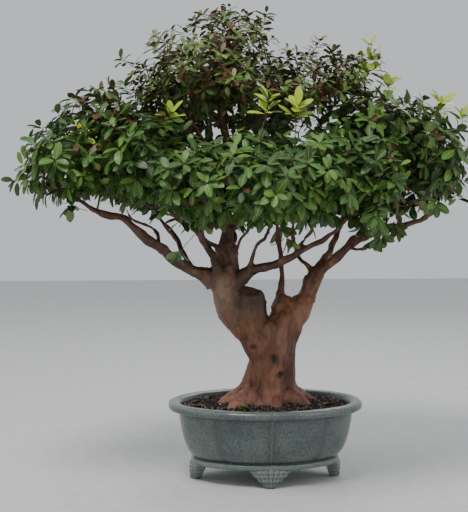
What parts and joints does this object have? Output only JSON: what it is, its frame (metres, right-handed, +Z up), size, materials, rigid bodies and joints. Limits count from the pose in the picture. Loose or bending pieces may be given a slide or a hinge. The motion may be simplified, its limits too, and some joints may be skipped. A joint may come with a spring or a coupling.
{
  "type": "bonsai tree in a pot",
  "caption": "Broad-leaved bonsai with a forked cinnamon trunk and spreading tiers of leaves, in a lobed oval glazed pot on carved feet.",
  "frame": {"origin": "under the middle of the whole tree's box, on the plane that the pot's feet stand on; the pot's own middle is 50 mm towards +X and 6 mm towards -Y from it", "axes": "+Z up, +X to the right and -Y towards the viewer when the tree is seen from its front"},
  "size_m": [1.0308, 0.782, 1.0729],
  "materials": {
    "glaze": "satin",
    "soil": "matte",
    "bark": "satin",
    "leaf": "satin",
    "weed": "satin",
    "dry_leaf": "matte",
    "screen": "matte",
    "wire": "satin"
  },
  "bodies": {
    "root": {"pot": "glaze", "soil": "soil", "trunk_and_limbs": "bark", "foliage_far_left": "leaf", "foliage_left": "leaf", "foliage_front": "leaf", "foliage_right": "leaf", "foliage_far_right": "leaf", "foliage_crown": "leaf", "foliage_crown_right": "leaf", "foliage_crown_back": "leaf", "foliage_back_left": "leaf", "foliage_back": "leaf", "foliage_back_right": "leaf", "weed_seedling": "weed", "fallen_leaf_1": "dry_leaf", "fallen_leaf_2": "dry_leaf", "fallen_leaf_3": "dry_leaf", "fallen_leaf_4": "dry_leaf", "drain_screen_left": "screen", "drain_screen_right": "screen", "screen_clip_left": "wire", "screen_clip_right": "wire"}
  },
  "joints": []
}
